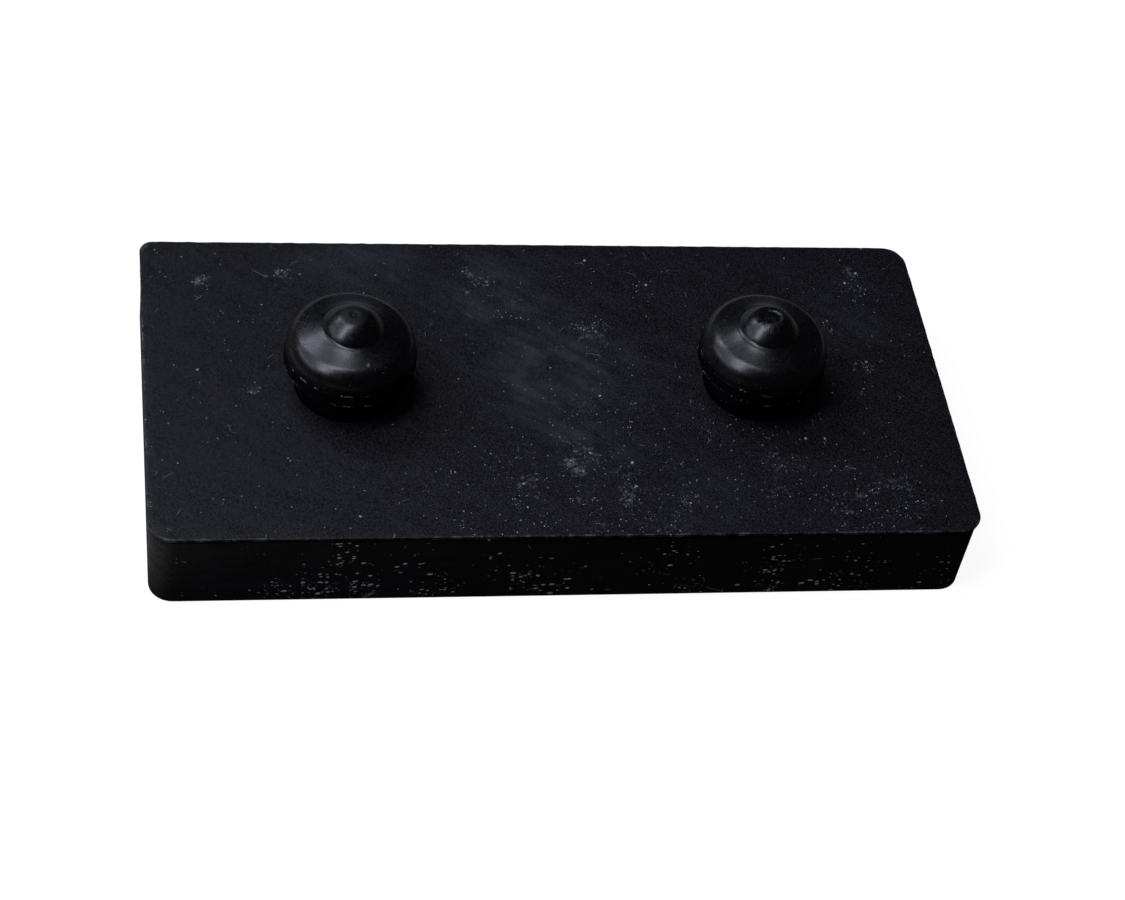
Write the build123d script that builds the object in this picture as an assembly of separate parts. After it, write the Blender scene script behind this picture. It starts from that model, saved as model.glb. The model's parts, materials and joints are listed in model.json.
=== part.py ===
# Two-stud rubber bump pad, in millimetres.
# A rubber block with a steel stiffener bonded under a thin seat layer. Two mushroom-shaped
# push-in studs stand on the seat layer and are pulled through two holes in a panel.
# The origin is the middle of the contact face. X runs along the pad, Y across it, and Z goes
# up from the contact face through the seat face to the tips of the studs.
import os

from build123d import *

# The pad as a whole, seat layer included.
pad_length = 100.0
pad_width = 49.0
pad_height = 11.6
corner_radius = 3.1
contact_edge_radius = 0.4

# The seat layer covers the whole top and stands proud of the block's walls all round.
seat_thickness = 0.6
seat_overhang = 0.25

# The stiffener lies in a pocket in the top of the block, flush with it.
plate_thickness = 2.0
plate_edge_cover = 6.0
plate_corner_radius = 2.0

# Rubber is vulcanised to its insert, so an insert fills its pocket with no gap.
bond_clearance = 0.0

# The studs, below the seat face: a root through seat layer and plate, and a foot under the plate.
stud_spacing = 51.0
root_step = 0.5
foot_grip = 2.0
foot_thickness = 2.5

# The neck stands in the panel's hole, and its height is the thickest panel that it takes.
neck_radius = 6.0
neck_height = 3.0

# The head, from its underside up: a flared underside, an upright rim between two mould split
# lines, a rounded shoulder, a shallow cone and a nipple where the pull tail ended.
head_radius = 7.93
flare_rise = 1.35
rim_height = 1.7
flash_proud = 0.12
flash_height = 0.24
shoulder_width = 1.63
shoulder_rise = 3.05
cone_rise = 0.9
nipple_radius = 3.45
nipple_rise = 2.1
tip_radius = 0.8

# The right stud's tip is cut off on a slant, this far below a whole tip at the stud's axis.
tip_cut_depth = 0.22
tip_cut_tilt = 9.0

# Worked out from the sizes above.
block_length = pad_length - 2 * seat_overhang
block_width = pad_width - 2 * seat_overhang
block_top = pad_height - seat_thickness
plate_length = block_length - 2 * plate_edge_cover
plate_width = block_width - 2 * plate_edge_cover
plate_bottom = block_top - plate_thickness
root_radius = neck_radius + root_step
foot_radius = root_radius + foot_grip
foot_bottom = plate_bottom - foot_thickness
stud_places = {"left_stud": -stud_spacing / 2, "right_stud": stud_spacing / 2}


def rounded_slab(length, width, radius, bottom, top):
    """A flat slab with rounded corners, centred on the origin, between two heights."""
    outline = Plane.XY.offset(bottom) * RectangleRounded(length, width, radius)
    return extrude(outline, top - bottom)


def upright_cylinders(radius, bottom, top):
    """One cylinder on each stud's axis, between two heights."""
    return [
        Pos(x, 0, bottom) * Cylinder(radius, top - bottom, align=(Align.CENTER, Align.CENTER, Align.MIN))
        for x in stud_places.values()
    ]


def make_wear_block():
    """The thick body, with its pocket for the plate and, under that, one for each stud's foot."""
    block = rounded_slab(block_length, block_width, corner_radius - seat_overhang, 0, block_top)
    block = fillet(block.faces().sort_by(Axis.Z)[0].edges(), contact_edge_radius)
    gap = bond_clearance
    block -= rounded_slab(
        plate_length + 2 * gap, plate_width + 2 * gap, plate_corner_radius + gap, plate_bottom, block_top
    )
    block -= upright_cylinders(foot_radius + gap, foot_bottom, plate_bottom)
    return block


def make_stiffener_plate():
    """The flat plate, with a hole for each stud's root."""
    plate = rounded_slab(plate_length, plate_width, plate_corner_radius, plate_bottom, block_top)
    return plate - upright_cylinders(root_radius + bond_clearance, plate_bottom, block_top)


def make_seat_layer():
    """The thin top layer, with a hole for each stud's root."""
    layer = rounded_slab(pad_length, pad_width, corner_radius, block_top, pad_height)
    return layer - upright_cylinders(root_radius + bond_clearance, block_top, pad_height)


def flash_ridge(height):
    """The three points of a mould split line that stands round the rim at this height."""
    half = flash_height / 2
    return [(head_radius, height - half), (head_radius + flash_proud, height), (head_radius, height + half)]


def make_stud():
    """A whole stud on the Z axis, turned from its half section."""
    neck_top = pad_height + neck_height
    rim_bottom = neck_top + flare_rise
    rim_top = rim_bottom + rim_height
    half_flash = flash_height / 2
    shoulder_start = (head_radius, rim_top + half_flash)
    cone_radius = head_radius - shoulder_width
    cone_foot = rim_top + shoulder_rise
    cone_top = cone_foot + cone_rise
    tip = cone_top + nipple_rise
    cone_slope = cone_rise / (cone_radius - nipple_radius)
    lower = [
        (0, foot_bottom),
        (foot_radius, foot_bottom),
        (foot_radius, plate_bottom),
        (root_radius, plate_bottom),
        (root_radius, pad_height),
        (neck_radius, pad_height),
        (neck_radius, neck_top),
    ]
    lower += flash_ridge(rim_bottom) + flash_ridge(rim_top)
    shoulder = [
        shoulder_start,
        (head_radius, shoulder_start[1] + shoulder_rise / 2),
        (cone_radius + shoulder_width / 2, cone_foot - cone_slope * shoulder_width / 2),
        (cone_radius, cone_foot),
    ]
    nipple = [
        (nipple_radius, cone_top),
        (nipple_radius - 0.2 * (nipple_radius - tip_radius), cone_top + 0.6 * nipple_rise),
        (tip_radius + 0.45 * (nipple_radius - tip_radius), tip - 0.1 * nipple_rise),
        (tip_radius, tip),
    ]
    with BuildPart() as stud:
        with BuildSketch(Plane.XZ):
            with BuildLine():
                Polyline(*lower)
                Bezier(*shoulder)
                Line((cone_radius, cone_foot), (nipple_radius, cone_top))
                Bezier(*nipple)
                Polyline((tip_radius, tip), (0, tip), (0, foot_bottom))
            make_face()
        revolve(axis=Axis.Z)
    return stud.part


def cut_tip(stud):
    """The same stud without its tip, cut off on a slant that drops towards the back."""
    tip = stud.bounding_box().max.Z
    cut = Plane(origin=(0, 0, tip - tip_cut_depth)).rotated((-tip_cut_tilt, 0, 0))
    return split(stud, bisect_by=cut, keep=Keep.BOTTOM)


def make_parts():
    """Every piece by its name."""
    whole_stud = make_stud()
    return {
        "wear_block": make_wear_block(),
        "stiffener_plate": make_stiffener_plate(),
        "seat_layer": make_seat_layer(),
        "left_stud": Pos(stud_places["left_stud"], 0, 0) * whole_stud,
        "right_stud": Pos(stud_places["right_stud"], 0, 0) * cut_tip(whole_stud),
    }


os.makedirs("parts", exist_ok=True)
for name, piece in make_parts().items():
    export_step(piece, f"parts/{name}.step")
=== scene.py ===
import json
import math

import bpy
from mathutils import Matrix, Vector


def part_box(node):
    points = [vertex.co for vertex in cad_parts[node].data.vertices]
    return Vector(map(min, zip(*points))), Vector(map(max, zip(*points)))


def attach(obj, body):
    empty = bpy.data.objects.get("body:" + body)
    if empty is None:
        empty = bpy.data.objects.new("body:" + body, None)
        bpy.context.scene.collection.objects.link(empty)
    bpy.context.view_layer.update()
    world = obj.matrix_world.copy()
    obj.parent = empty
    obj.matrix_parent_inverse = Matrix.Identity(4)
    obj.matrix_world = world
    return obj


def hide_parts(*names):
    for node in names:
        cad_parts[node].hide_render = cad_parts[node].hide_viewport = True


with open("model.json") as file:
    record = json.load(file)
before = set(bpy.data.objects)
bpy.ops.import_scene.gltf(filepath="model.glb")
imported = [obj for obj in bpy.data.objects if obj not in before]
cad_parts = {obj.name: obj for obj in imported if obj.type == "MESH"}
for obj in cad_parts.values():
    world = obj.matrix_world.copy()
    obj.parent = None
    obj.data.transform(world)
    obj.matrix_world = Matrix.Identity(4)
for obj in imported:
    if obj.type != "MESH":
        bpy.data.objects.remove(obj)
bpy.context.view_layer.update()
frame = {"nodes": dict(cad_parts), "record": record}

# A rubber bump pad with two push-in studs. The block, the seat layer and the studs are
# modelled here around the CAD nodes, and the steel stiffener keeps its CAD mesh.
# Lengths are in metres, so MM turns a size in millimetres into one.
MM = 0.001
BODY = "root"

block_low, block_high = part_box("wear_block")
seat_low, seat_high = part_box("seat_layer")
plate_low, plate_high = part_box("stiffener_plate")
left_low, left_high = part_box("left_stud")
right_low, right_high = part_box("right_stud")
stud_mount = next(m for m in frame["record"]["mounts"] if m["name"] == "stud_necks")

# Sizes shared by the pieces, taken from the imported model.
seat_z = seat_high.z
tip_z = left_high.z
neck_radius = stud_mount["dims"]["stud_r_mm"] * MM
stud_reach = stud_mount["dims"]["spacing_x_mm"] * MM / 2
foot_radius = (left_high.x - left_low.x) / 2
foot_bottom = left_low.z
plate_bottom = plate_low.z
root_radius = neck_radius + 0.5 * MM

# The pad's own roundings and the depth of its ragged moulding flash.
corner_radius = 3.1 * MM
seat_overhang = block_low.x - seat_low.x
tight_corner_radius = 2.0 * MM
contact_edge = 0.20 * MM
flash_depth = 0.10 * MM


# ---------------------------------------------------------------- mesh helpers

def deselect_all():
    """Leaves nothing selected and no object in edit mode."""
    if bpy.context.object and bpy.context.object.mode != "OBJECT":
        bpy.ops.object.mode_set(mode="OBJECT")
    bpy.ops.object.select_all(action="DESELECT")


def open_for_editing(piece):
    """Makes this the only selected piece, in edit mode, with all of its mesh selected."""
    deselect_all()
    bpy.context.view_layer.objects.active = piece
    piece.select_set(True)
    bpy.ops.object.mode_set(mode="EDIT")
    bpy.ops.mesh.select_all(action="SELECT")


def start_piece(name):
    """Names the primitive that was just added and opens it for editing."""
    piece = bpy.context.object
    piece.name = name
    piece.data.name = name
    open_for_editing(piece)
    return piece


def select_where(piece, test, kind):
    """Selects the vertices, edges or faces that pass a test on the piece's mesh."""
    bpy.ops.mesh.select_mode(type=kind)
    bpy.ops.mesh.select_all(action="DESELECT")
    bpy.ops.object.mode_set(mode="OBJECT")
    mesh = piece.data
    elements = {"VERT": mesh.vertices, "EDGE": mesh.edges, "FACE": mesh.polygons}[kind]
    for element in elements:
        element.select = test(mesh, element)
    bpy.ops.object.mode_set(mode="EDIT")


def edge_ends(mesh, edge):
    """The two end points of an edge."""
    return [mesh.vertices[i].co for i in edge.vertices]


def is_level_edge(height):
    """A test for edges that lie flat at this height."""
    return lambda mesh, edge: all(abs(p.z - height) < 1e-6 for p in edge_ends(mesh, edge))


def is_flat_face(height):
    """A test for faces that lie flat at this height."""
    return lambda mesh, face: abs(face.center.z - height) < 1e-6 and abs(face.normal.z) > 0.99


def is_long_edge(least):
    """A test for edges at least this long."""
    def test(mesh, edge):
        a, b = edge_ends(mesh, edge)
        return (a - b).length > least
    return test


def raise_face(height):
    """Extrudes the selection straight up."""
    bpy.ops.mesh.extrude_region_move(TRANSFORM_OT_translate={"value": (0, 0, height)})


def spread_face(length, width, margin):
    """Widens the selected face, so long and so wide before, by a margin all round."""
    bpy.ops.transform.resize(
        value=(1 + 2 * margin / length, 1 + 2 * margin / width, 1), center_override=(0, 0, 0),
        constraint_axis=(True, True, False),
    )


def rounded_outline(name, length, width, radius, height, spacing, tight_radius=None):
    """A flat face with rounded corners, the back left one perhaps tighter, open for editing."""
    deselect_all()
    bpy.ops.mesh.primitive_plane_add(size=1, location=(0, 0, height))
    piece = bpy.context.object
    piece.scale = (length, width, 1)
    bpy.ops.object.transform_apply(location=True, rotation=True, scale=True)
    start_piece(name)
    corner_segments = max(8, round(radius * math.pi / 2 / spacing))
    if tight_radius:
        select_where(piece, lambda mesh, corner: corner.co.x < 0 < corner.co.y, "VERT")
        bpy.ops.mesh.bevel(
            offset=tight_radius, segments=corner_segments, affect="VERTICES", profile=0.5
        )
        square = (length / 2 + width / 2) * 0.999
        select_where(piece, lambda mesh, corner: abs(corner.co.x) + abs(corner.co.y) > square, "VERT")
    bpy.ops.mesh.bevel(offset=radius, segments=corner_segments, affect="VERTICES", profile=0.5)
    select_where(piece, is_long_edge(width / 2), "EDGE")
    bpy.ops.mesh.subdivide(number_cuts=round(width / spacing))
    select_where(piece, is_long_edge(3 * spacing / 2), "EDGE")
    bpy.ops.mesh.subdivide(number_cuts=max(1, round(length / width) - 1))
    bpy.ops.mesh.select_mode(type="FACE")
    bpy.ops.mesh.select_all(action="SELECT")
    return piece


def add_modifier(piece, kind, **settings):
    """Adds a modifier with its settings and applies it."""
    deselect_all()
    bpy.context.view_layer.objects.active = piece
    piece.select_set(True)
    made = piece.modifiers.new(kind.lower(), kind)
    for key, value in settings.items():
        setattr(made, key, value)
    bpy.ops.object.modifier_apply(modifier=made.name)


def cloud_texture(name, scale, depth=2):
    """A soft noise for displacing a mesh, this many metres from lump to lump."""
    texture = bpy.data.textures.new(name, "CLOUDS")
    texture.noise_scale = scale
    texture.noise_depth = depth
    return texture


def mark(piece, name, weigh):
    """A vertex group whose weights come from a function of each vertex's place."""
    deselect_all()
    group = piece.vertex_groups.new(name=name)
    for vertex in piece.data.vertices:
        weight = weigh(vertex.co)
        if weight > 0:
            group.add([vertex.index], weight, "REPLACE")
    return name


def cut_out(piece, cutter):
    """Takes the cutter's shape out of the piece and deletes the cutter."""
    add_modifier(piece, "BOOLEAN", operation="DIFFERENCE", object=cutter, solver="EXACT")
    bpy.data.objects.remove(cutter)


def finish_piece(piece, material, node, smooth_angle=35):
    """Shades the piece, gives it its material and puts it in the frame for its CAD node."""
    open_for_editing(piece)
    bpy.ops.mesh.remove_doubles(threshold=1e-7)
    bpy.ops.mesh.normals_make_consistent(inside=False)
    bpy.ops.object.mode_set(mode="OBJECT")
    bpy.ops.object.shade_smooth_by_angle(angle=math.radians(smooth_angle))
    add_modifier(piece, "WEIGHTED_NORMAL", keep_sharp=True)
    piece.vertex_groups.clear()
    piece.data.materials.clear()
    piece.data.materials.append(material)
    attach(piece, BODY)
    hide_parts(node)


def blend_between(value, low, high):
    """0 at low, 1 at high, and a smooth step between them."""
    t = min(1, max(0, (value - low) / (high - low)))
    return t * t * (3 - 2 * t)


# ---------------------------------------------------------------- block and seat layer

def slab_cutter(name, low, high, radius):
    """A plain slab the size of an insert, for cutting its pocket."""
    piece = rounded_outline(name, high.x - low.x, high.y - low.y, radius, low.z, 1 * MM)
    raise_face(high.z - low.z + 1 * MM)
    bpy.ops.object.mode_set(mode="OBJECT")
    return piece


def round_cutter(name, x, radius, bottom, top):
    """A plain round plug on a stud's axis, for cutting its hole."""
    deselect_all()
    bpy.ops.mesh.primitive_cylinder_add(
        vertices=96, radius=radius, depth=top - bottom, location=(x, 0, (top + bottom) / 2)
    )
    bpy.ops.object.transform_apply(location=True, rotation=True, scale=True)
    bpy.context.object.name = name
    return bpy.context.object


def make_wear_block():
    """The thick body: slightly wavy moulded walls, a soft contact edge and the inserts' pockets."""
    length = block_high.x - block_low.x
    width = block_high.y - block_low.y
    height = block_high.z - block_low.z
    groove_height = 0.30 * MM
    groove_depth = 0.14 * MM
    wave = 0.04 * MM
    courses = 12
    course = (height - groove_height) / courses
    radius = corner_radius - seat_overhang
    tight_radius = tight_corner_radius - seat_overhang
    piece = rounded_outline("block_body", length, width, radius, block_low.z, 0.9 * MM, tight_radius)
    for _ in range(courses):
        raise_face(course)
    bpy.ops.mesh.inset(thickness=groove_depth, depth=0)
    raise_face(groove_height)
    select_where(piece, is_level_edge(block_low.z), "EDGE")
    bpy.ops.mesh.bevel(offset=contact_edge, segments=4, affect="EDGES")
    wall_band = height - groove_height - 0.5 * MM

    def weigh(point):
        return blend_between(point.z, 0, 1.5 * MM) * (1 - blend_between(point.z, wall_band, height))

    group = mark(piece, "walls", weigh)
    add_modifier(
        piece, "DISPLACE", texture=cloud_texture("wall_waves", 9 * MM), strength=wave,
        mid_level=0.8, vertex_group=group,
    )
    pocket_high = Vector((plate_high.x, plate_high.y, block_high.z))
    cut_out(piece, slab_cutter("pocket", plate_low, pocket_high, 2 * MM))
    for x in (-stud_reach, stud_reach):
        cutter = round_cutter("foot_pocket", x, foot_radius, foot_bottom, plate_bottom + 0.5 * MM)
        cut_out(piece, cutter)
    finish_piece(piece, block_rubber, "wear_block")


def make_seat_layer():
    """The thin top layer with its ragged flash lip all round and the studs' holes."""
    length = seat_high.x - seat_low.x
    width = seat_high.y - seat_low.y
    lip_under = 0.20 * MM
    side_lean = 0.06 * MM
    top_round = 0.04 * MM
    under_step = 0.06 * MM
    edge_ring = 0.3 * MM
    border_ring = 1.0 * MM
    thickness = seat_high.z - seat_low.z
    piece = rounded_outline(
        "seat_sheet", length - 2 * lip_under, width - 2 * lip_under, corner_radius - lip_under,
        seat_low.z, 0.28 * MM, tight_corner_radius - lip_under,
    )
    raise_face(under_step)
    raise_face(under_step)
    spread_face(length - 2 * lip_under, width - 2 * lip_under, lip_under - side_lean)
    raise_face(thickness - 2 * under_step - top_round)
    spread_face(length - 2 * side_lean, width - 2 * side_lean, side_lean)
    bpy.ops.mesh.inset(thickness=0.3 * top_round, depth=0.7 * top_round)
    bpy.ops.mesh.inset(thickness=0.7 * top_round, depth=0.3 * top_round)
    bpy.ops.mesh.inset(thickness=edge_ring, depth=0)
    bpy.ops.mesh.inset(thickness=border_ring, depth=0)
    half_length = length / 2
    half_width = width / 2

    def weigh(point):
        dx = max(0, abs(point.x) - (half_length - corner_radius))
        dy = max(0, abs(point.y) - (half_width - corner_radius))
        inward = corner_radius - math.hypot(dx, dy)
        return 1 - blend_between(inward, 0.05 * MM, 0.35 * MM)

    group = mark(piece, "lip", weigh)
    add_modifier(
        piece, "DISPLACE", texture=cloud_texture("lip_tears", 1.3 * MM, 4), strength=flash_depth,
        mid_level=0.85, vertex_group=group,
    )
    add_modifier(
        piece, "DISPLACE", texture=cloud_texture("lip_height", 1.6 * MM, 4), strength=0.10 * MM,
        mid_level=0.55, direction="Z", vertex_group=group,
    )
    for x in (-stud_reach, stud_reach):
        cutter = round_cutter("root_hole", x, root_radius, seat_low.z - 1 * MM, seat_high.z + 1 * MM)
        cut_out(piece, cutter)
    finish_piece(piece, seat_rubber, "seat_layer")


# ---------------------------------------------------------------- studs

def bezier(points, steps):
    """Points along a cubic curve, after its start."""
    a, b, c, d = [Vector(p) for p in points]
    for i in range(1, steps + 1):
        t = i / steps
        yield a * (1 - t) ** 3 + b * 3 * t * (1 - t) ** 2 + c * 3 * t * t * (1 - t) + d * t ** 3


def flash_ridge(radius, height, proud):
    """A thin fin of mould flash round the rim: its foot, its edge and its foot again."""
    half = 0.13 * MM
    return [
        (radius, height - half),
        (radius + 0.6 * proud, height - 0.35 * half),
        (radius + proud, height),
        (radius + 0.55 * proud, height + 0.4 * half),
        (radius, height + half),
    ]


def stud_profile():
    """The half section of a stud above its root, as (radius, height) from the seat face up."""
    rim = 7.93 * MM
    proud = 0.1 * MM
    neck_top = 3.0 * MM
    low_flash = 4.35 * MM
    high_flash = 6.05 * MM
    cone_edge = (6.30 * MM, 9.08 * MM)
    cone_top = (4.05 * MM, 9.80 * MM)
    nipple = (3.62 * MM, 9.98 * MM)
    tip_edge = (0.85 * MM, tip_z - seat_z - 0.12 * MM)
    section = [(neck_radius, 0.5 * i * MM) for i in range(5)]
    underside = [
        (neck_radius, 2.5 * MM), (neck_radius, neck_top + 0.15 * MM),
        (rim - 0.6 * MM, low_flash - 0.75 * MM), (rim - 0.02 * MM, low_flash - 0.2 * MM),
    ]
    section += [tuple(p) for p in bezier(underside, 9)]
    section += flash_ridge(rim, low_flash, proud)
    band = high_flash - low_flash
    hollow = 0.035 * MM
    section += [
        (rim - hollow * math.sin(math.pi * i / 6), low_flash + band * i / 6) for i in range(1, 6)
    ]
    section += flash_ridge(rim, high_flash, proud)
    shoulder = [
        (rim, high_flash + 0.15 * MM), (rim, high_flash + 1.60 * MM),
        (cone_edge[0] + 0.80 * MM, cone_edge[1] - 0.26 * MM), cone_edge,
    ]
    section += [tuple(p) for p in bezier(shoulder, 16)]
    cone = [cone_edge, (5.4 * MM, 9.34 * MM), (4.5 * MM, 9.60 * MM), cone_top]
    section += [tuple(p) for p in bezier(cone, 10)]
    crease = [cone_top, (3.86 * MM, 9.85 * MM), (3.70 * MM, 9.90 * MM), nipple]
    section += [tuple(p) for p in bezier(crease, 8)]
    dome = [nipple, (3.26 * MM, 10.70 * MM), (2.40 * MM, 11.70 * MM), tip_edge]
    section += [tuple(p) for p in bezier(dome, 14)]
    return section


def turned_piece(name, x, rings, around):
    """A closed turned shape on a stud's axis: a disc extruded and scaled from ring to ring."""
    deselect_all()
    radius, height = rings[0]
    bpy.ops.mesh.primitive_circle_add(
        vertices=around, radius=radius, location=(0, 0, height), fill_type="NGON"
    )
    bpy.ops.object.transform_apply(location=True, rotation=True, scale=True)
    piece = start_piece(name)
    bpy.ops.mesh.select_mode(type="FACE")
    bpy.ops.mesh.select_all(action="SELECT")
    for next_radius, next_height in rings[1:]:
        raise_face(next_height - height)
        ratio = next_radius / radius
        if abs(ratio - 1) > 1e-9:
            bpy.ops.transform.resize(value=(ratio, ratio, 1), center_override=(0, 0, next_height))
        radius, height = next_radius, next_height
    bpy.ops.mesh.select_all(action="SELECT")
    bpy.ops.mesh.normals_make_consistent(inside=False)
    bpy.ops.object.mode_set(mode="OBJECT")
    piece.location.x = x
    bpy.ops.object.transform_apply(location=True, rotation=True, scale=True)
    return piece


def roughen_stud(piece, x, lean):
    """Breaks up the two flash fins and lets the rubber be a little uneven all over."""
    def on_flash(point):
        reach = math.hypot(point.x - x, point.y)
        return blend_between(reach, 7.95 * MM, 8.02 * MM)

    group = mark(piece, "flash", on_flash)
    add_modifier(
        piece, "DISPLACE", texture=cloud_texture("fin_tears", 0.5 * MM, 3), strength=0.16 * MM,
        mid_level=0.78, vertex_group=group,
    )

    def above_seat(point):
        return blend_between(point.z, seat_z + 0.5 * MM, seat_z + 4 * MM)

    group = mark(piece, "head", above_seat)
    add_modifier(
        piece, "DISPLACE", texture=cloud_texture("head_unevenness", 7 * MM, 0), strength=lean,
        mid_level=0.9, vertex_group=group,
    )


def make_gate_mark(piece):
    """The ring and dimple where the pull tail came away from a whole tip."""
    def at_tip(mesh, face):
        return face.normal.z > 0.999 and face.center.z > tip_z - 0.3 * MM

    open_for_editing(piece)
    select_where(piece, at_tip, "FACE")
    # Each inset in turn, in millimetres: how far in, and how far up.
    insets = ((0.08, 0.02), (0.08, -0.02), (0.20, 0.01), (0.14, -0.06), (0.12, -0.02), (0.06, 0.05))
    for thickness, depth in insets:
        bpy.ops.mesh.inset(thickness=thickness * MM, depth=depth * MM)
    bpy.ops.object.mode_set(mode="OBJECT")


def tear_off_tip(piece, x):
    """Ends a cut-short stud in a slanted face with a ragged rim, as torn rubber is."""
    deselect_all()
    top = max(vertex.co.z for vertex in piece.data.vertices)
    open_for_editing(piece)
    select_where(piece, is_flat_face(top), "FACE")
    for shrink, rise in ((0.86, 0.14), (0.86, 0.09), (0.92, 0.03)):
        raise_face(rise * MM)
        bpy.ops.transform.resize(value=(shrink, shrink, shrink), center_override=(x, 0, top))
        bpy.ops.transform.rotate(value=math.radians(2.6), orient_axis="X", center_override=(x, 0, top))
        bpy.ops.transform.rotate(value=math.radians(1.8), orient_axis="Y", center_override=(x, 0, top))
        top += rise * MM
    for thickness, depth in ((0.05, -0.02), (0.12, -0.10), (0.2, -0.05), (0.25, 0.02), (0.25, 0.03)):
        bpy.ops.mesh.inset(thickness=thickness * MM, depth=depth * MM)
    bpy.ops.object.mode_set(mode="OBJECT")

    def near_cut(point):
        reach = math.hypot(point.x - x, point.y)
        return blend_between(point.z, top - 0.45 * MM, top - 0.1 * MM) * (reach < 2.2 * MM)

    group = mark(piece, "torn", near_cut)
    add_modifier(
        piece, "DISPLACE", texture=cloud_texture("torn_rubber", 0.45 * MM, 3), strength=0.20 * MM,
        mid_level=0.75, direction="Z", vertex_group=group,
    )


def make_stud(name, x, torn, lean):
    """One push-in stud: foot and root inside the pad, neck and head above the seat face."""
    tear_radius = 1.95 * MM
    rings = [
        (foot_radius, foot_bottom), (foot_radius, plate_bottom),
        (root_radius, plate_bottom), (root_radius, seat_z),
    ]
    for radius, height in stud_profile():
        if not torn or radius > tear_radius:
            rings.append((radius, seat_z + height))
    piece = turned_piece(name, x, rings, 320)
    if torn:
        tear_off_tip(piece, x)
    else:
        make_gate_mark(piece)
    roughen_stud(piece, x, lean)
    return piece


# ---------------------------------------------------------------- material kit

class Shade:
    """A socket in a material. Arithmetic on values adds Math nodes."""

    def __init__(self, tree, socket):
        self.tree = tree
        self.socket = socket

    def node(self, kind, settings=(), sockets=(), out=0):
        """Adds any node: its settings first, then its sockets' values or links."""
        made = self.tree.nodes.new("ShaderNode" + kind)
        for key, value in dict(settings).items():
            setattr(made, key, value)
        for key, value in dict(sockets).items():
            if isinstance(value, Shade):
                self.tree.links.new(value.socket, made.inputs[key])
            else:
                made.inputs[key].default_value = value
        return Shade(self.tree, made.outputs[out]) if made.outputs else None

    def maths(self, operation, *values):
        """One Math node on these values."""
        return self.node("Math", {"operation": operation}, enumerate(values))

    def __add__(self, other):
        return self.maths("ADD", self, other)

    def __sub__(self, other):
        return self.maths("SUBTRACT", self, other)

    def __rsub__(self, other):
        return self.maths("SUBTRACT", other, self)

    def __mul__(self, other):
        return self.maths("MULTIPLY", self, other)

    def __lt__(self, other):
        return self.maths("LESS_THAN", self, other)

    __radd__ = __add__
    __rmul__ = __mul__

    def size(self):
        return self.maths("ABSOLUTE", self)

    def root(self):
        return self.maths("SQRT", self)

    def smallest(self, other):
        return self.maths("MINIMUM", self, other)

    def largest(self, other):
        return self.maths("MAXIMUM", self, other)

    def step(self, low, high):
        """0 below low, 1 above high, smooth between them. Turned round if low is above high."""
        return self.node(
            "MapRange", {"interpolation_type": "SMOOTHSTEP"},
            {"Value": self, "From Min": low, "From Max": high},
        )

    def vector(self, operation, *values, out=0):
        return self.node("VectorMath", {"operation": operation}, enumerate(values), out)

    def scaled(self, factors):
        return self.vector("MULTIPLY", self, factors)

    def noise(self, size, detail=2.0, roughness=0.5):
        """A soft noise with lumps about this many metres across."""
        return self.node(
            "TexNoise", (),
            {"Vector": self, "Scale": 1 / size, "Detail": detail, "Roughness": roughness},
        )

    def mix(self, low, high):
        """A colour mix: low where this value is 0, high where it is 1."""
        return self.node("Mix", {"data_type": "RGBA"}, {"Factor": self, 6: low, 7: high}, 2)

    def axis(self, name):
        return self.node("SeparateXYZ", (), {"Vector": self}, "XYZ".index(name))


def new_material(name):
    """An empty material, a start for its nodes, and the piece's own coordinates."""
    material = bpy.data.materials.new(name)
    material.use_nodes = True
    tree = material.node_tree
    tree.nodes.clear()
    start = Shade(tree, None)
    return material, start, start.node("TexCoord", out=3)


def close_material(start, **sockets):
    """The Principled shader and the output, from the values and links of its sockets."""
    named = {key.replace("_", " "): value for key, value in sockets.items()}
    surface = start.node("BsdfPrincipled", (), named)
    start.node("OutputMaterial", (), {"Surface": surface})


def flecks(places, size, gate, seed_shift, stretch=(1, 1, 1), dimensions="2D"):
    """Irregular little flecks on a cell pattern: gate is the share of the cells that has one."""
    moved = places.vector("ADD", places, seed_shift)
    wobble = moved.noise(size * 0.9, 3.0).socket
    bent = moved.node(
        "VectorMath", {"operation": "MULTIPLY_ADD"},
        {0: Shade(moved.tree, wobble), 1: (0.55 * size,) * 3, 2: moved.scaled(stretch)},
    )
    cell = {"Vector": bent, "Scale": 1 / size, "Randomness": 1.0}
    pattern = {"voronoi_dimensions": dimensions, "feature": "F1"}
    distance = places.node("TexVoronoi", pattern, cell, 0)
    colour = places.node("TexVoronoi", pattern, cell, 1)
    chance = places.node("SeparateColor", (), {"Color": colour}, 0)
    spread = places.node("SeparateColor", (), {"Color": colour}, 1)
    shade = places.node("SeparateColor", (), {"Color": colour}, 2)
    reach = 0.08 + 0.25 * spread
    return (1 - (distance - reach).step(-0.05, 0.05)) * (chance < gate) * (0.25 + 0.75 * shade * shade)


def crumbs(places, size, density, shift, stretch=(1, 1, 1)):
    """Ragged crumbs and flakes: the tops of a fine noise, more of them where the density is higher."""
    moved = places.vector("ADD", places, shift).scaled(stretch)
    shade = moved.noise(4 * size, 2.0).step(0.35, 0.68)
    return (moved.noise(size, 3.0, 0.62) + 0.30 * density).step(0.775, 0.835) * (0.2 + 0.8 * shade)


def soft_patches(places, spots):
    """Soft round patches at chosen places: each spot is (x, y, z, radius, strength) in millimetres."""
    total = None
    for x, y, z, radius, strength in spots:
        away = places.vector("DISTANCE", places, (x * MM, y * MM, z * MM), out=1)
        patch = strength * (1 - away.step(0.15 * radius * MM, radius * MM))
        total = patch if total is None else total.largest(patch)
    return total


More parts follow.
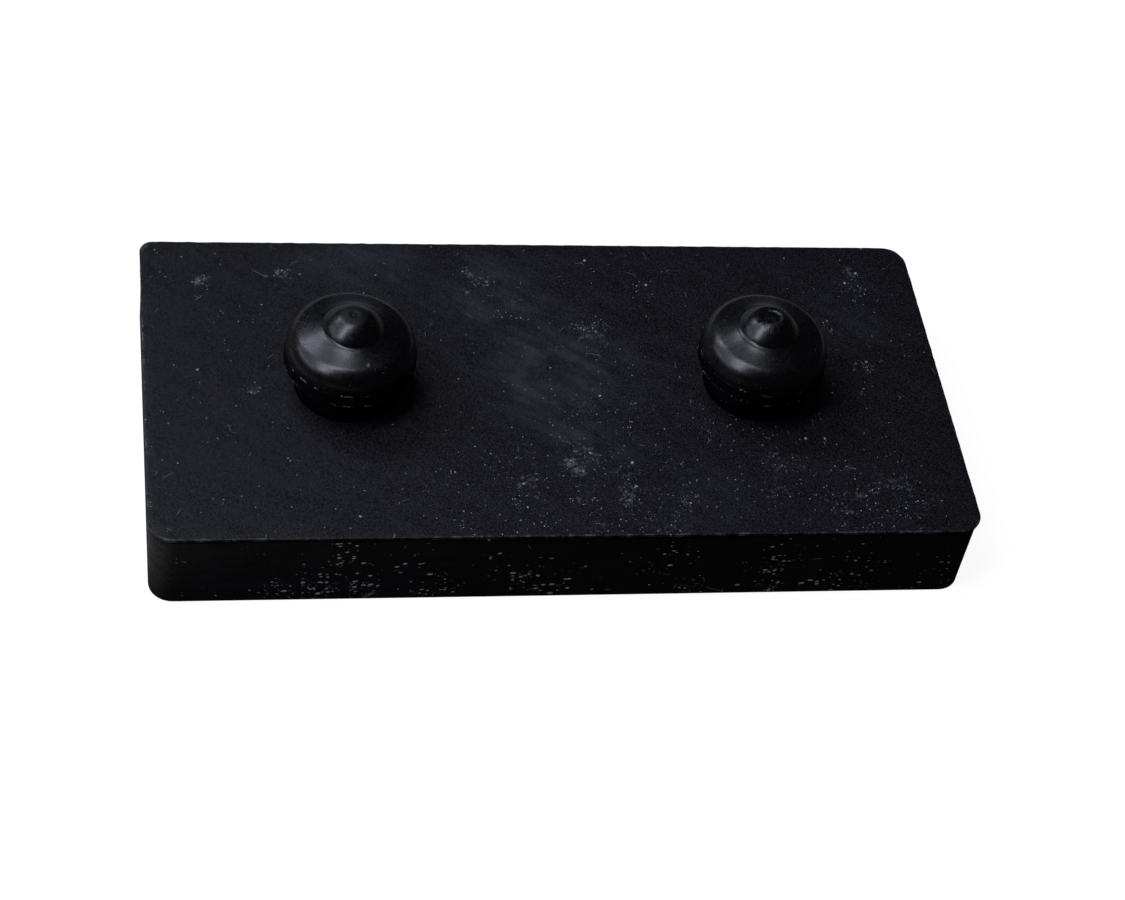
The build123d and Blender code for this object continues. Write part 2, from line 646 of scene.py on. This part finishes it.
def fine_hairs(places, size, seed_shift):
    """Thin curved hairs: short runs of the lines between cells."""
    moved = places.vector("ADD", places, seed_shift)
    line = moved.node(
        "TexVoronoi", {"feature": "DISTANCE_TO_EDGE"},
        {"Vector": moved, "Scale": 1 / size, "Randomness": 1.0},
    )
    thin = 1 - line.step(0.003, 0.012)
    return thin * moved.noise(size * 0.6, 1.0).step(0.68, 0.73)


# ---------------------------------------------------------------- materials

DUST = (0.46, 0.49, 0.51, 1)
WARM_DUST = (0.84, 0.80, 0.70, 1)

# Where the dust has gathered on the seat face: x, y, z, radius and strength, in millimetres.
seat_dust = (
    (4, -16, 11.6, 24, 0.30), (30, -17, 11.6, 20, 0.28), (-12, -18, 11.6, 10, 0.30),
    (0.3, -13, 11.6, 1.5, 0.85), (1.6, -14.6, 11.6, 1.7, 0.9), (1, -15, 11.6, 5, 0.40),
    (-5, -17, 11.6, 7, 0.38), (6, -19, 11.6, 6, 0.42), (15, -19, 11.6, 4, 0.44),
    (2, -11, 11.6, 9, 0.34), (41, -19, 11.6, 7, 0.44), (35, -18, 11.6, 3, 0.50),
    (35, -14.5, 11.6, 2, 0.50), (34, -21.5, 11.6, 3, 0.48), (41, 16, 11.6, 4, 0.50),
    (38, 10, 11.6, 3, 0.46), (42, 20, 11.6, 4, 0.36), (40, 2.5, 11.6, 3, 0.54),
    (-42, 17, 11.6, 2.2, 1.3), (-32.5, 19, 11.6, 1.5, 1.3), (-9, 17, 11.6, 5, 0.78),
    (-4.5, 13, 11.6, 4, 0.78), (-37, -1, 11.6, 2.0, 0.58), (14, 16, 11.6, 3, 0.36),
    (5, 9, 11.6, 6, 0.32),
)
seat_haze = (
    (1, 2, 11.6, 15, 1.0), (-6, 15, 11.6, 12, 0.8), (-22, 21, 11.6, 12, 0.6), (3, -8, 11.6, 9, 0.7),
    (16, -19, 11.6, 8, 0.4), (40, 12, 11.6, 9, 0.35),
)

# Where it has gathered on the front wall, in the same terms.
wall_dust = (
    (-35, -24.2, 1.3, 3.5, 1.2), (-30, -24.2, 1.5, 4, 1.1), (-25, -24.2, 1.6, 3.5, 0.9),
    (-30, -24.2, 4.0, 5, 0.7), (-27, -24.2, 7.5, 4, 0.55), (-28, -24.2, 10.6, 2.5, 0.8),
    (-17, -24.2, 1.5, 5, 0.75), (-19, -24.2, 6.5, 4.5, 0.4), (-4, -24.2, 2.6, 6, 0.6),
    (-9, -24.2, 6, 4, 0.45), (12, -24.2, 5.7, 6, 0.4), (15, -24.2, 1.8, 4, 0.5),
    (26, -24.2, 4.5, 7, 0.5), (35, -24.2, 3.6, 6, 0.7), (45, -24.2, 4, 5, 0.3),
)


def askew(places):
    """The same places turned to a slant, so that no noise lines up with the faces."""
    return places.node(
        "VectorRotate", {"rotation_type": "AXIS_ANGLE"},
        {"Vector": places, "Axis": (0.62, 0.48, 0.62), "Angle": 1.1},
    )


def grain_height(places, size):
    """The fine mould grain of the rubber's surface."""
    slanted = askew(places)
    return 0.6 * slanted.noise(size, 3.0, 0.6) + 0.4 * slanted.noise(3.3 * size, 2.0)


def make_seat_rubber():
    """The matt top face: bluish black with grey haze, gathered dust, fine grain and a lighter ragged
    edge band, partly dust and partly a painted highlight.
    """
    material, start, places = new_material("seat_rubber")
    half_length = (seat_high.x - seat_low.x) / 2
    half_width = (seat_high.y - seat_low.y) / 2
    beyond_x = (places.axis("X").size() - (half_length - corner_radius)).largest(0)
    beyond_y = (places.axis("Y").size() - (half_width - corner_radius)).largest(0)
    inward = corner_radius - (beyond_x * beyond_x + beyond_y * beyond_y).root()
    gathered = soft_patches(places, seat_dust)
    clumps = places.noise(3.5 * MM, 3.0, 0.6).step(0.38, 0.68)
    density = gathered * (0.25 + 0.75 * clumps)
    crumbly = crumbs(places, 0.80 * MM, 1.05 * density, (0.013, 0.004, 0.0))
    grit = crumbs(places, 0.36 * MM, 1.3 * density + 0.16 * clumps, (0.0, 0.021, 0.007))
    curls = crumbs(places, 0.50 * MM, 2.0 * density + 0.22 * clumps, (0.006, 0.0, 0.012))
    flakes = flecks(places, 0.62 * MM, 0.34 * density * density + 0.001, (0.003, 0.011, 0.0))
    specks = flecks(places, 0.30 * MM, 0.24 * density + 0.010 * clumps + 0.003, (0.0, 0.021, 0.0))
    dust = (2.2 * flakes).largest(1.6 * specks).largest(0.42 * crumbly).largest(0.45 * grit)
    dust = dust.largest(0.14 * curls).smallest(1)
    slanted = askew(places)
    # A ragged lighter band along the top edge: partly dust, partly a painted highlight where the
    # rounded edge catches the light.
    near_edge = 1 - inward.step(0.10 * MM, 0.32 * MM)
    edge_dust_and_highlight = near_edge * slanted.noise(1.9 * MM, 5.0, 0.75).step(0.48, 0.68)
    hairs = 0.35 * fine_hairs(places, 3.4 * MM, (0.002, 0.009, 0.0))
    marks = dust.largest(0.26 * edge_dust_and_highlight).largest(hairs).smallest(1)
    haze = soft_patches(places, seat_haze) * places.noise(6 * MM, 5.0, 0.62).step(0.28, 0.66)
    swept = places.node(
        "VectorRotate", {"rotation_type": "Z_AXIS"}, {"Vector": places, "Angle": math.radians(38)}
    )
    smears = swept.scaled((0.7, 2.6, 1)).noise(6 * MM, 5.0, 0.65).step(0.36, 0.68)
    clean = (0.0011, 0.0011, 0.0026, 1)
    hazed = (0.0330, 0.0345, 0.0420, 1)
    rubber = (haze * (0.45 + 0.7 * smears) + 0.05 * smears).smallest(1).mix(clean, hazed)
    pepper = slanted.noise(0.23 * MM, 3.0, 0.7).step(0.38, 0.68)
    rubber = pepper.mix(rubber, rubber.vector("ADD", rubber, (0.0170, 0.0160, 0.0190)))
    side = 1 - places.axis("Z").step(seat_z - 0.12 * MM, seat_z - 0.04 * MM)
    colour = marks.mix(side.mix(rubber, (0.0020, 0.0018, 0.0022, 1)), DUST)
    roughness = 0.34 + 0.06 * smears + 0.3 * marks + 0.10 * haze + 0.22 * pepper + 0.1 * side
    height = grain_height(places, 0.62 * MM) + 0.4 * dust + 0.5 * slanted.noise(6 * MM, 3.0)
    normal = start.node("Bump", (), {"Strength": 0.5, "Distance": 0.12 * MM, "Height": height})
    close_material(start, Base_Color=colour, Roughness=roughness.smallest(1), Normal=normal, IOR=1.5)
    return material


def make_block_rubber():
    """The moulded walls: darker and browner, with dust lying in rows along them, and painted light that
    makes them lighter towards the left end.
    """
    material, start, places = new_material("block_rubber")
    gathered = soft_patches(places, wall_dust)
    rows = places.scaled((0.45, 0.45, 2.2)).noise(2.4 * MM, 3.0)
    density = gathered * (0.2 + 0.8 * rows.step(0.40, 0.66))
    shelf = 1 - (places.axis("Z") - 1.35 * MM).size().step(0.15 * MM, 0.65 * MM)
    lined = density.largest(0.9 * gathered * shelf)
    laid_flat = places.node(
        "CombineXYZ", (),
        {"X": places.axis("X") + places.axis("Y"), "Y": places.axis("Z"), "Z": 0.0},
    )
    broad = (0.70, 1.25, 1)
    lying = (0.75, 0.75, 1.2)
    flakes = flecks(laid_flat, 0.70 * MM, 0.46 * lined, (0.003, 0.002, 0.0), broad)
    crumbly = flecks(laid_flat, 0.50 * MM, 0.34 * lined + 0.008 * rows, (0.001, 0.007, 0.0), broad)
    thinned = 0.8 * density.smallest(0.55) + 0.20 * rows
    grit = crumbs(places, 0.36 * MM, thinned, (0.0, 0.001, 0.017), lying)
    specks = flecks(laid_flat, 0.28 * MM, 0.16 * density + 0.012 * rows, (0.004, 0.0, 0.0), broad)
    dust = (3.0 * flakes).largest(2.2 * crumbly).largest(0.8 * grit).largest(specks).smallest(1)
    hairs = 0.5 * fine_hairs(places, 4.0 * MM, (0.004, 0.001, 0.002))
    marks = dust.largest(hairs).smallest(1)
    scuffs_and_painted_light = places.scaled((0.5, 0.5, 2)).noise(4 * MM, 4.0, 0.65).step(0.40, 0.72)
    pepper = askew(places).noise(0.24 * MM, 2.0, 0.7).step(0.36, 0.64)
    # Painted light: the scuffed tone is made several times stronger at the left end than on the right
    # half, so the walls look lit from the left.
    scuffs_and_painted_light = (scuffs_and_painted_light + 0.6 * pepper) * (0.6 + 2.2 * (1 - places.axis("X").step(-0.045, 0.0)))
    rubber = scuffs_and_painted_light.mix((0.0014, 0.0012, 0.0018, 1), (0.0068, 0.0064, 0.0072, 1))
    colour = marks.mix(rubber, WARM_DUST)
    roughness = 0.50 + 0.14 * scuffs_and_painted_light + 0.25 * marks
    height = grain_height(places, 0.34 * MM) + 0.4 * dust + 0.5 * places.noise(3 * MM, 2.0)
    normal = start.node("Bump", (), {"Strength": 0.7, "Distance": 0.15 * MM, "Height": height})
    close_material(start, Base_Color=colour, Roughness=roughness.smallest(1), Normal=normal, IOR=1.5)
    return material


def make_stud_rubber(name, x):
    """Smoother, satin rubber with faint rings from the mould, a little dust, and more on the flash."""
    material, start, places = new_material(name)
    centred = places.vector("SUBTRACT", places, (x, 0, 0))
    reach = centred.scaled((1, 1, 0)).vector("LENGTH", centred.scaled((1, 1, 0)), out=1)
    height_above = places.axis("Z") - seat_z
    low_flash = 1 - (height_above - 4.35 * MM).size().step(0.08 * MM, 0.35 * MM)
    high_flash = 1 - (height_above - 6.05 * MM).size().step(0.08 * MM, 0.35 * MM)
    flash = low_flash.largest(high_flash) * reach.step(7.6 * MM, 7.9 * MM)
    patchy = places.noise(1.6 * MM, 3.0)
    density = 0.60 * flash * patchy.step(0.40, 0.60) + 0.04 * patchy.step(0.5, 0.7)
    dust = 0.55 * crumbs(places, 0.26 * MM, 1.55 * density, (0.001, 0.006, 0.003))
    specks = flecks(places, 0.16 * MM, 0.6 * density + 0.05, (0.009, 0.0, 0.002), dimensions="3D")
    dust = dust.largest(0.6 * specks)
    scrapes = 0.25 * fine_hairs(places, 2.2 * MM, (0.001, 0.003, 0.0))
    marks = dust.largest(scrapes).smallest(1)
    film = places.noise(0.6 * MM, 5.0, 0.7).step(0.35, 0.72)
    rubber = film.mix((0.0005, 0.0005, 0.0010, 1), (0.0014, 0.0014, 0.0024, 1))
    colour = marks.mix(rubber, DUST)
    turning = reach.node("CombineXYZ", (), {"X": reach, "Y": 0.0, "Z": 0.35 * places.axis("Z")})
    rings = turning.noise(0.16 * MM, 2.0)
    polished = height_above.step(5.6 * MM, 7.8 * MM)
    end = height_above.step(11.62 * MM, 11.86 * MM)
    roughness = 0.21 + 0.13 * film + 0.35 * marks + 0.08 * rings + 0.08 * (1 - polished) + 0.32 * end
    grain = 0.60 * places.noise(0.30 * MM, 3.0) + 0.3 * places.noise(1.2 * MM, 2.0)
    height = 0.35 * rings + grain + 0.6 * dust
    normal = start.node("Bump", (), {"Strength": 0.40, "Distance": 0.04 * MM, "Height": height})
    sheen = start.node("BsdfPrincipled", (), {
        "Base Color": colour, "Roughness": roughness.smallest(1), "Normal": normal, "IOR": 1.52,
        "Coat Weight": 0.78 * polished * (1 - end), "Coat Roughness": 0.27,
    })
    matt = start.node("BsdfDiffuse", (), {"Color": colour, "Normal": normal})
    dulled = 0.72 * (1 - polished) * (1 - marks)
    surface = start.node("MixShader", (), {"Fac": dulled, 1: sheen, 2: matt})
    start.node("OutputMaterial", (), {"Surface": surface})
    return material


def make_plate_steel():
    """Cold-rolled strip: grey, brushed along its length, with dark bonding primer in patches."""
    material, start, places = new_material("plate_steel")
    brushed = places.scaled((0.06, 1, 1)).noise(0.25 * MM, 3.0)
    primer = places.noise(9 * MM, 4.0, 0.6).step(0.38, 0.60)
    colour = primer.mix((0.40, 0.40, 0.42, 1), (0.055, 0.055, 0.060, 1))
    metallic = 1 - 0.9 * primer
    roughness = 0.28 + 0.2 * brushed + 0.25 * primer
    height = brushed + 0.4 * primer
    normal = start.node("Bump", (), {"Strength": 0.25, "Distance": 0.03 * MM, "Height": height})
    close_material(start, Base_Color=colour, Metallic=metallic, Roughness=roughness, Normal=normal)
    return material


# ---------------------------------------------------------------- stage

def make_floor():
    """A pale floor that turns up into a backdrop, seen by the camera but not mirrored in the rubber."""
    deselect_all()
    reach = 2.5
    just_under = -0.02 * MM
    bpy.ops.mesh.primitive_circle_add(
        vertices=96, radius=reach, fill_type="NGON", location=(0, 0, just_under)
    )
    floor = start_piece("studio_floor")
    bpy.ops.mesh.select_mode(type="FACE")
    bpy.ops.mesh.select_all(action="SELECT")
    bpy.ops.mesh.inset(thickness=0.6 * reach)

    def on_rim(mesh, edge):
        return all(p.length > 0.99 * reach for p in edge_ends(mesh, edge))

    select_where(floor, on_rim, "EDGE")
    radius = reach
    # Each step of the backdrop: its share of the floor's radius, and its rise.
    for share, rise in ((1.12, 0.08), (1.20, 0.25), (1.24, 0.6), (1.25, 2.2)):
        next_radius = share * reach
        bpy.ops.mesh.extrude_region_move(TRANSFORM_OT_translate={"value": (0, 0, rise)})
        ratio = next_radius / radius
        bpy.ops.transform.resize(value=(ratio, ratio, 1), center_override=(0, 0, 0))
        radius = next_radius
    bpy.ops.object.mode_set(mode="OBJECT")
    bpy.ops.object.shade_smooth()
    material, start, places = new_material("pale_paper")
    paper = places.noise(0.02, 2.0).mix((0.30, 0.30, 0.30, 1), (0.31, 0.31, 0.31, 1))
    surface = start.node("BsdfPrincipled", (), {
        "Base Color": paper, "Roughness": 0.9, "Specular IOR Level": 0.0,
        "Emission Color": (1, 1, 1, 1), "Emission Strength": 0.93,
    })
    start.node("OutputMaterial", (), {"Surface": surface})
    floor.data.materials.append(material)
    floor.visible_diffuse = False
    floor.visible_glossy = False


def add_panel(name, place, along, outward, size, radiance, colour):
    """A soft rectangular light: its length runs along one direction and it shines against the other."""
    data = bpy.data.lights.new(name, "AREA")
    data.shape = "RECTANGLE"
    data.size, data.size_y = size
    data.energy = radiance * math.pi * size[0] * size[1]
    data.color = colour
    light = bpy.data.objects.new(name, data)
    bpy.context.scene.collection.objects.link(light)
    turn = Matrix((along, outward.cross(along), outward)).transposed()
    light.matrix_world = Matrix.Translation(place) @ turn.to_4x4()
    light.visible_camera = False


def make_lights():
    """A tall window's soft light from the left and overhead, its faint fill, and the lit table top."""
    tilt = math.radians(40)
    away = 0.46
    outward = Vector((-math.sin(tilt), 0, math.cos(tilt)))
    upward = Vector((math.cos(tilt), 0, math.sin(tilt)))
    sideways = Vector((0, 1, 0))
    middle = Vector((0, 0, 0.02))
    centre = middle + away * outward
    daylight = (0.80, 0.83, 1.0)
    sky = (0.70, 0.79, 1.0)
    # Each pane: its place across and up in the window's plane, its length, width and turn,
    # its brightness and its colour.
    panes = (
        ("window_sky", 0.05, -0.02, 0.40, 0.44, 0, 0.56, sky),
        ("window_front_bar", -0.10, 0.10, 0.64, 0.13, 56, 4.3, daylight),
        ("window_back_bar", 0.24, 0.0, 0.48, 0.10, 76, 5.2, daylight),
        ("window_low_bar", -0.01, -0.28, 0.42, 0.09, 0, 1.55, daylight),
    )
    for name, across, up, length, width, turn, radiance, colour in panes:
        along = sideways * math.cos(math.radians(turn)) + upward * math.sin(math.radians(turn))
        place = centre + sideways * across + upward * up
        add_panel(name, place, along, outward, (length, width), radiance, colour)
    level = Vector((1, 0, 0))
    behind = Vector((0, 1, 0))
    add_panel("back_fill", Vector((-0.15, 0.8, 0.05)), level, behind, (1.0, 0.10), 0.45, sky)
    warm = (1.0, 0.97, 0.92)
    below = Vector((0, 0, -1))
    # The table top stands in for the light that the floor doesn't give: place, size, brightness.
    table_top = (
        ("table_left", (-0.073, -0.045, 0.0005), (0.044, 0.15), 0.30),
        ("table_front", (-0.06, -0.085, 0.0005), (0.10, 0.10), 0.05),
        ("table_back", (0, 0.21, 0.0005), (0.5, 0.34), 0.075),
    )
    for name, place, size, radiance in table_top:
        add_panel(name, Vector(place), level, below, size, radiance, warm)
    world = bpy.data.worlds.new("dim_room")
    world.use_nodes = True
    background = world.node_tree.nodes["Background"]
    background.inputs["Color"].default_value = (0.012, 0.012, 0.015, 1)
    bpy.context.scene.world = world


def make_camera():
    """An 85 mm view from above the front left, rolled a little."""
    azimuth, elevation, roll = [math.radians(a) for a in (-15.70, 47.40, 11.37)]
    aim = Vector((2.60, -0.75, 0)) * MM
    distance = 336.0 * MM
    back = Vector((
        math.sin(azimuth) * math.cos(elevation),
        -math.cos(azimuth) * math.cos(elevation),
        math.sin(elevation),
    ))
    right = Vector((0, 0, 1)).cross(back).normalized()
    up = back.cross(right)
    turned_right = right * math.cos(roll) + up * math.sin(roll)
    turned_up = up * math.cos(roll) - right * math.sin(roll)
    data = bpy.data.cameras.new("camera")
    data.sensor_width = 36
    data.lens = 85
    data.clip_start = 0.01
    camera = bpy.data.objects.new("camera", data)
    bpy.context.scene.collection.objects.link(camera)
    turn = Matrix((turned_right, turned_up, back)).transposed()
    camera.matrix_world = Matrix.Translation(aim + back * distance) @ turn.to_4x4()
    bpy.context.scene.camera = camera


# ---------------------------------------------------------------- everything

seat_rubber = make_seat_rubber()
block_rubber = make_block_rubber()
make_wear_block()
make_seat_layer()
# Each stud: its node, its place along the pad, whether its tip is torn, and its unevenness.
studs = (
    ("left_stud", -stud_reach, False, 0.05 * MM),
    ("right_stud", stud_reach, True, 0.06 * MM),
)
for node, x, torn, lean in studs:
    stud = make_stud(node.replace("_", "_push_"), x, torn, lean)
    finish_piece(stud, make_stud_rubber(node + "_rubber", x), node, 50)
plate = frame["nodes"]["stiffener_plate"]
plate.data.materials.clear()
plate.data.materials.append(make_plate_steel())
make_floor()
make_lights()
make_camera()
bpy.context.scene.view_settings.view_transform = "Standard"
